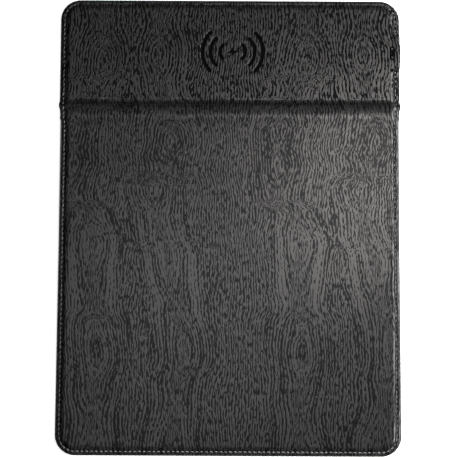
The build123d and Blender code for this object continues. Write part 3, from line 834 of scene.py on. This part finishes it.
# ------ materials
class Nodes:
    """Short ways to add shader nodes to one material."""

    def __init__(self, name):
        self.material = bpy.data.materials.new(name)
        self.material.use_nodes = True
        self.tree = self.material.node_tree
        self.shader = self.tree.nodes["Principled BSDF"]

    def put(self, socket, value):
        if isinstance(value, bpy.types.NodeSocket):
            self.tree.links.new(value, socket)
        else:
            socket.default_value = value

    def node(self, kind, values, **settings):
        """A new node of a kind, with its settings and what goes into its sockets."""
        node = self.tree.nodes.new("ShaderNode" + kind)
        for name, setting in settings.items():
            setattr(node, name, setting)
        for socket, value in values.items():
            self.put(node.inputs[socket], value)
        return node

    def math(self, operation, a, b=0.0):
        return self.node("Math", {0: a, 1: b}, operation=operation).outputs[0]

    def add(self, a, b):
        return self.math("ADD", a, b)

    def less(self, a, b):
        return self.math("SUBTRACT", a, b)

    def times(self, a, b):
        return self.math("MULTIPLY", a, b)

    def over(self, a, b):
        return self.math("DIVIDE", a, b)

    def split(self, place):
        node = self.node("SeparateXYZ", {0: place})
        return node.outputs[0], node.outputs[1], node.outputs[2]

    def uv(self, layer):
        return self.split(self.node("UVMap", {}, uv_map=layer).outputs[0])[:2]

    def place(self):
        return self.node("TexCoord", {}).outputs["Object"]

    def vector(self, x, y, z=0.0):
        return self.node("CombineXYZ", {0: x, 1: y, 2: z}).outputs[0]

    def noise(self, place, scale, detail=1.0, distortion=0.0):
        values = {"Vector": place, "Scale": scale, "Detail": detail, "Distortion": distortion}
        return self.node("TexNoise", values).outputs[0]

    def cells(self, place, scale):
        return self.node("TexVoronoi", {"Vector": place, "Scale": scale}).outputs["Distance"]

    def ramp(self, value, low, high, start=0.0, end=1.0):
        values = dict(enumerate((value, low, high, start, end)))
        return self.node("MapRange", values, interpolation_type="SMOOTHSTEP").outputs[0]

    def blend(self, share, a, b):
        a, b = ((*colour, 1.0) if isinstance(colour, tuple) else colour for colour in (a, b))
        return self.node("Mix", {0: share, 6: a, 7: b}, data_type="RGBA").outputs[2]

    def bump(self, height, depth_mm):
        return self.node("Bump", {"Height": height, "Distance": depth_mm * MM}).outputs[0]

    def set(self, **values):
        for name, value in values.items():
            label = name.replace("_", " ").title().replace("Ior", "IOR")
            if isinstance(value, tuple):
                value = (*value, 1.0)
            self.put(self.shader.inputs[label], value)
        return self.material


SHORT_STRAND, LONG_STRAND = 1.6, 1.95     # from one strand to the next, in millimetres
# painted shade: past these, on the panel, the cuts are made wider and duller to darken the panel
PANEL_SHADE_Y = (76 * MM, 90 * MM)             # past these, on the panel, the cuts are wider and duller


def wood_grain_leather():
    """Black synthetic leather embossed with an oak figure: glossier plateaus, matte cuts painted darker as
    shade, and pressed marks painted near black as shade.
    """
    n = Nodes("wood_grain_leather")
    rings, pores = n.uv("grain")
    steepness, clarity = n.uv("slope")
    pressed = n.add(*n.uv("marks"))
    x, y = n.uv("rest")
    rest = n.vector(x, y)

    def streaks(across, across_mm, along_mm, offset, detail=1.0):
        along = n.add(n.over(y, along_mm * MM), offset)
        return n.noise(n.vector(n.over(across, across_mm * MM), along, offset), 1.0, detail)

    def centred(value, share):
        return n.times(n.less(value, 0.5), share)

    def strands(field, pitch_mm):
        return n.math("SINE", n.times(field, 2 * math.pi / (pitch_mm * MM)))

    # long strands follow the growth rings beside each figure, and pores break them into
    # jagged fingers where the rings turn over; short strands follow the pores elsewhere
    fingers = centred(streaks(pores, 0.8, 6.0, 3.1), 9 * MM)
    jagged = n.add(rings, n.times(fingers, steepness))
    wander = centred(streaks(pores, 3.0, 20.0, 17.7), 2.6 * MM)
    short = strands(n.add(pores, wander), SHORT_STRAND)
    long = strands(n.add(jagged, n.times(wander, 0.6)), LONG_STRAND)
    dashes = streaks(pores, 0.75, 4.0, 0.0)
    patches = n.noise(rest, 1 / (19 * MM), detail=2.0)
    figured = n.ramp(n.add(rings, centred(patches, 26 * MM)), 27 * MM, 20 * MM)
    figured = n.times(figured, n.ramp(clarity, 0.3, 0.75, 0.15, 1.0))
    broad = streaks(jagged, 3.6, 70.0, 11.9, 0.0)
    drawn = n.times(n.add(n.times(long, 0.145), centred(broad, 0.46)), figured)
    plain = n.times(n.times(short, 0.11), n.less(1.0, figured))
    level = n.add(n.add(dashes, n.add(drawn, plain)), centred(patches, 0.06))
    # wider cuts on the panel darken it: painted shade
    level = n.less(level, n.ramp(y, *PANEL_SHADE_Y, 0.0, 0.014))
    # the floors of the pressed marks and holes: left without lacquer, and painted near black as shade in
    # their hollows
    sunk_and_shaded = n.ramp(pressed, 0.45, 0.75)
    raised = n.times(n.ramp(level, 0.485, 0.535), n.less(1.0, sunk_and_shaded))

    micro = n.noise(rest, 1 / (0.35 * MM), detail=2.0)
    tone = n.noise(rest, 1 / (31 * MM), detail=1.0)
    # the cuts are painted darker than the plateaus: painted shade in the recesses, as the leather itself is
    # black all over
    cut = (0.0038, 0.0040, 0.0044)
    plateau = n.blend(tone, (0.016, 0.0154, 0.0151), (0.021, 0.0202, 0.0198))
    # a lacquer tips the plateaus and thins out in the cuts; its fading on the hinge line is painted shade in
    # the crease
    # thinner lacquer in the panel's cuts: painted shade on the panel
    thin = n.times(n.ramp(y, *PANEL_SHADE_Y, 0.24, 0.02), n.less(1.0, sunk_and_shaded))
    lacquer = n.add(raised, n.times(thin, n.less(1.0, raised)))
    from_hinge = n.math("ABSOLUTE", n.less(y, FOLD_Y * MM))
    lacquer = n.times(lacquer, n.ramp(from_hinge, 0.3 * MM, 1.8 * MM, 0.25, 1.0))
    roughness = n.add(n.ramp(raised, 0.0, 1.0, 0.85, 0.6), n.times(micro, 0.1))
    bumped = n.bump(n.add(raised, n.times(micro, 0.1)), 0.07)
    # the pressed marks are painted near black (0.0012) as shade in their hollows
    colour = n.blend(sunk_and_shaded, n.blend(raised, cut, plateau), (0.0012, 0.0012, 0.0013))
    n.set(base_color=colour, roughness=roughness, normal=bumped)
    return n.set(specular_ior_level=0.06, coat_weight=lacquer, coat_roughness=0.31, coat_normal=bumped)


def plain_leather(name, tone):
    """Smooth black synthetic leather with a fine pebble."""
    n = Nodes(name)
    x, y = n.uv("rest")
    place = n.vector(x, y)
    pebble = n.cells(place, 1 / (0.9 * MM))
    fine = n.noise(place, 1 / (0.3 * MM), detail=2.0)
    relief = n.add(pebble, n.times(fine, 0.3))
    shade = n.blend(fine, tuple(c * 0.8 for c in tone), tuple(c * 1.25 for c in tone))
    return n.set(base_color=shade, roughness=n.ramp(pebble, 0.0, 1.0, 0.62, 0.5), normal=n.bump(relief, 0.07))


def non_slip_skin():
    """Black underside sheet pressed with a fine diamond pattern."""
    n = Nodes("non_slip_skin")
    x, y = n.uv("rest")
    pitch = 2.2 * MM
    one = n.math("SINE", n.times(n.add(x, y), math.pi / pitch))
    two = n.math("SINE", n.times(n.less(x, y), math.pi / pitch))
    dots = n.ramp(n.times(one, two), -0.2, 0.7)
    fine = n.noise(n.vector(x, y), 1 / (0.4 * MM), detail=3.0)
    wear = n.noise(n.vector(x, y), 1 / (40 * MM), detail=3.0)
    relief = n.add(dots, n.times(fine, 0.25))
    shade = n.blend(wear, (0.016, 0.016, 0.017), (0.028, 0.028, 0.029))
    return n.set(base_color=shade, roughness=n.ramp(fine, 0.3, 0.7, 0.7, 0.85), normal=n.bump(relief, 0.16))


def sewing_thread():
    """Twisted pale grey thread."""
    n = Nodes("sewing_thread")
    along, around = n.uv("thread")
    turns = n.add(n.times(along, 3.0), around)
    twist = n.math("SINE", n.times(turns, 4 * math.pi))
    fibre = n.noise(n.place(), 1 / (0.12 * MM), detail=2.0)
    shade = n.blend(n.ramp(twist, -1.0, 1.0), (0.30, 0.30, 0.30), (0.66, 0.65, 0.64))
    return n.set(base_color=shade, roughness=n.ramp(fibre, 0.3, 0.7, 0.55, 0.75),
                 normal=n.bump(n.add(twist, fibre), 0.05))


def moulded(name, low, high, rough, speck_mm=0.25, depth_mm=0.015):
    """A moulded surface: fine mottling in colour, gloss and relief."""
    n = Nodes(name)
    speck = n.noise(n.place(), 1 / (speck_mm * MM), detail=3.0)
    cloud = n.noise(n.place(), 1 / (12 * MM), detail=2.0)
    roughness = n.add(n.times(n.add(speck, cloud), 0.08), rough - 0.08)
    return n.set(base_color=n.blend(cloud, low, high), roughness=roughness,
                 normal=n.bump(speck, depth_mm))


def brushed(name, low, high):
    """Stamped metal with fine drawing lines."""
    n = Nodes(name)
    x, y, z = n.split(n.place())
    stretched = n.vector(n.over(x, 2.5 * MM), n.over(y, 0.06 * MM), n.over(z, 0.06 * MM))
    lines = n.noise(stretched, 1.0, detail=2.0)
    return n.set(base_color=n.blend(lines, low, high), metallic=1.0,
                 roughness=n.ramp(lines, 0.2, 0.8, 0.24, 0.42), normal=n.bump(lines, 0.006))


def sponge():
    """Open-celled foam."""
    n = Nodes("sponge")
    cells = n.cells(n.place(), 1 / (0.6 * MM))
    shade = n.blend(cells, (0.06, 0.06, 0.062), (0.16, 0.16, 0.165))
    return n.set(base_color=shade, roughness=n.ramp(cells, 0.0, 1.0, 0.95, 0.8), normal=n.bump(cells, 0.25))


def fibre_board():
    """Grey-brown pressed board."""
    n = Nodes("fibre_board")
    fibres = n.noise(n.place(), 1 / (1.1 * MM), detail=4.0, distortion=1.5)
    shade = n.blend(fibres, (0.16, 0.14, 0.11), (0.34, 0.30, 0.25))
    return n.set(base_color=shade, roughness=n.ramp(fibres, 0.3, 0.7, 0.75, 0.9), normal=n.bump(fibres, 0.05))


def smoked_guide():
    """Dark see-through plastic."""
    n = Nodes("smoked_guide")
    haze = n.noise(n.place(), 1 / (0.3 * MM), detail=2.0)
    material = n.set(base_color=n.blend(haze, (0.003, 0.003, 0.0033), (0.006, 0.006, 0.0065)),
                     roughness=n.ramp(haze, 0.2, 0.8, 0.08, 0.25), ior=1.49)
    n.shader.inputs["Transmission Weight"].default_value = 0.85
    return material


def studio_floor():
    n = Nodes("studio_floor")
    cloud = n.noise(n.place(), 1 / 0.6, detail=2.0)
    n.shader.inputs["Emission Color"].default_value = (1.0, 1.0, 1.0, 1.0)
    n.shader.inputs["Emission Strength"].default_value = 0.8
    return n.set(base_color=n.blend(cloud, (0.88, 0.88, 0.88), (0.9, 0.9, 0.9)), roughness=0.9)


def give(made, material):
    made.data.materials.clear()
    made.data.materials.append(material)


def give_node(node, material):
    """A CAD node gets its material on its object's slots."""
    piece = frame["nodes"][node]
    if not piece.material_slots:
        piece.data.materials.append(material)
    for place in piece.material_slots:
        place.link = "OBJECT"
        place.material = material


# ------ building the pieces
def add_soft_goods():
    thread = sewing_thread()

    cover = leather_cover()
    give(cover, wood_grain_leather())
    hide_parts("mat_top_leather", "crease_roll", "panel_top_leather")
    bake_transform(cover)

    seam = seam_stitches()
    give(seam, thread)
    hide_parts("mat_seam_thread", "panel_seam_thread")
    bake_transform(seam)

    skin = underside_skin()
    give(skin, non_slip_skin())
    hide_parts("mat_base_skin", "panel_base_skin")
    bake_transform(skin)

    return thread


def add_socket():
    bezel = socket_bezel()
    give(bezel, moulded("bezel_plastic", (0.012, 0.012, 0.0125), (0.02, 0.02, 0.021), 0.45))
    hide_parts("port_bezel")
    shell = socket_shell()
    give(shell, brushed("plated_shell", (0.42, 0.42, 0.43), (0.62, 0.62, 0.63)))
    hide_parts("usb_c_shell")
    contacts = socket_contacts()
    give(contacts, brushed("contact_gold", (0.72, 0.5, 0.2), (0.9, 0.68, 0.32)))
    for piece in (bezel, shell, contacts):
        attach(piece, "charger_panel")
    give_node("usb_c_tongue", moulded("tongue_plastic", (0.01, 0.01, 0.01), (0.02, 0.02, 0.02), 0.5))


def add_coil():
    coil = coil_winding()
    give(coil, brushed("litz_wire", (0.55, 0.26, 0.12), (0.78, 0.42, 0.2)))
    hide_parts("transmit_coil")
    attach(coil, "charger_panel")


def add_flap(thread):
    outer = flap_leather()
    give(outer, plain_leather("flap_pebble", (0.022, 0.0218, 0.0215)))
    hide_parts("flap_outer_skin")
    lining = flap_lining()
    give(lining, plain_leather("lining_pebble", (0.035, 0.035, 0.036)))
    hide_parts("flap_inner_skin")
    stitches = flap_stitches()
    give(stitches, thread)
    feet = flap_feet()
    give(feet, moulded("foot_rubber", (0.018, 0.018, 0.018), (0.03, 0.03, 0.03), 0.75, 0.4, 0.03))
    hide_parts("flap_foot_strips")
    for piece in (outer, lining, stitches, feet):
        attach(piece, "stand_flap")


def dress_inner_parts():
    """Materials of the CAD pieces that stay as they are."""
    foam, board = sponge(), fibre_board()
    housing = moulded("housing_plastic", (0.014, 0.014, 0.0145), (0.024, 0.024, 0.025), 0.5, 0.3, 0.02)
    chips = moulded("chip_package", (0.012, 0.012, 0.013), (0.022, 0.022, 0.023), 0.42, 0.15, 0.01)
    dressing = {
        "mat_foam_pad": foam, "fold_strip_foam": foam, "panel_edge_foam": foam,
        "mat_stiffener_board": board, "flap_board": board,
        "charger_upper_shell": housing, "charger_lower_shell": housing,
        "shell_screws": brushed("screw_zinc", (0.5, 0.5, 0.52), (0.68, 0.68, 0.7)),
        "keeper_plates": brushed("keeper_steel", (0.45, 0.45, 0.46), (0.6, 0.6, 0.6)),
        "flap_magnets": brushed("magnet_nickel", (0.62, 0.61, 0.58), (0.78, 0.77, 0.74)),
        "ferrite_sheet": moulded("ferrite", (0.03, 0.03, 0.033), (0.055, 0.055, 0.06), 0.35),
        "coil_leads": moulded("lead_red", (0.35, 0.02, 0.015), (0.5, 0.04, 0.03), 0.45),
        "coil_thermistor": moulded("sensor_epoxy", (0.05, 0.18, 0.07), (0.09, 0.28, 0.11), 0.3),
        "circuit_board": moulded("solder_mask", (0.01, 0.11, 0.045), (0.02, 0.16, 0.07), 0.35),
        "control_chip": chips, "power_transistors": chips,
        "resonant_capacitors": moulded("ceramic_tan", (0.38, 0.28, 0.18), (0.52, 0.4, 0.27), 0.5),
        "power_inductor": moulded("inductor_ferrite", (0.08, 0.08, 0.085), (0.13, 0.13, 0.135), 0.6),
        "indicator_led": moulded("led_package", (0.7, 0.7, 0.6), (0.85, 0.85, 0.75), 0.4),
        "light_pipe": smoked_guide(),
        "flap_hinge_strip": moulded("hinge_leather", (0.02, 0.02, 0.02), (0.035, 0.035, 0.035),
                                    0.6, 0.6, 0.05),
    }
    for node, material in dressing.items():
        give_node(node, material)


# ------ studio
def add_floor():
    bpy.ops.mesh.primitive_plane_add(size=6.0, location=(0, 0, -0.0001))
    floor = bpy.context.object
    floor.name = "floor"
    give(floor, studio_floor())
    floor.visible_glossy = False


def add_light(name, place, target, size, power, colour=(1, 1, 1)):
    data = bpy.data.lights.new(name, "AREA")
    data.shape = "RECTANGLE"
    data.size, data.size_y = size
    data.energy = power
    data.color = colour
    light = add_to_scene(name, data)
    light.location = place
    light.rotation_euler = (Vector(target) - light.location).to_track_quat("-Z", "Y").to_euler()


SENSOR_W = 36.0
CAMERA_TILT = math.radians(5.2)
CAMERA_DISTANCE = 1.0
CAMERA_ROLL = math.radians(0.28)
VIEW_SPAN = 0.3143        # what the frame's height covers at the mat
VIEW_CENTRE = (-0.0004, -0.0024, 0.003)


def add_camera():
    data = bpy.data.cameras.new("camera")
    data.sensor_width = SENSOR_W
    data.lens = SENSOR_W * CAMERA_DISTANCE / VIEW_SPAN
    camera = add_to_scene("camera", data)
    back = Vector((0, -math.sin(CAMERA_TILT), math.cos(CAMERA_TILT)))
    camera.location = Vector(VIEW_CENTRE) + back * CAMERA_DISTANCE
    camera.rotation_euler = (-back).to_track_quat("-Z", "Y").to_euler()
    camera.rotation_euler.rotate_axis("Z", CAMERA_ROLL)
    bpy.context.scene.camera = camera


def add_studio():
    add_floor()
    add_light("key", (0.162, 0.094, 0.45), (0.075, 0.045, 0), (0.165, 0.22), 1.03, (1, 0.95, 0.93))
    add_light("overhead", (-0.075, 0.04, 2.0), (0, 0, 0), (0.34, 0.24), 2.95)
    add_light("near", (0.1, -0.75, 0.25), (0, -0.05, 0), (0.8, 0.3), 0.5)
    add_light("side", (0.75, 0.0, 0.42), (0.1, 0, 0), (0.9, 0.4), 10.4)
    add_light("low", (0.7, 0.02, 0.12), (0.1, 0, 0), (0.9, 0.12), 3.5)
    world = bpy.data.worlds.new("studio")
    world.use_nodes = True
    background = world.node_tree.nodes["Background"]
    background.inputs["Color"].default_value = (0.9, 0.95, 1.0, 1.0)
    background.inputs["Strength"].default_value = 0.02
    bpy.context.scene.world = world
    bpy.context.scene.view_settings.view_transform = "Standard"
    add_camera()


# ------ the scene
sewing = add_soft_goods()
add_socket()
add_coil()
add_flap(sewing)
dress_inner_parts()
add_studio()
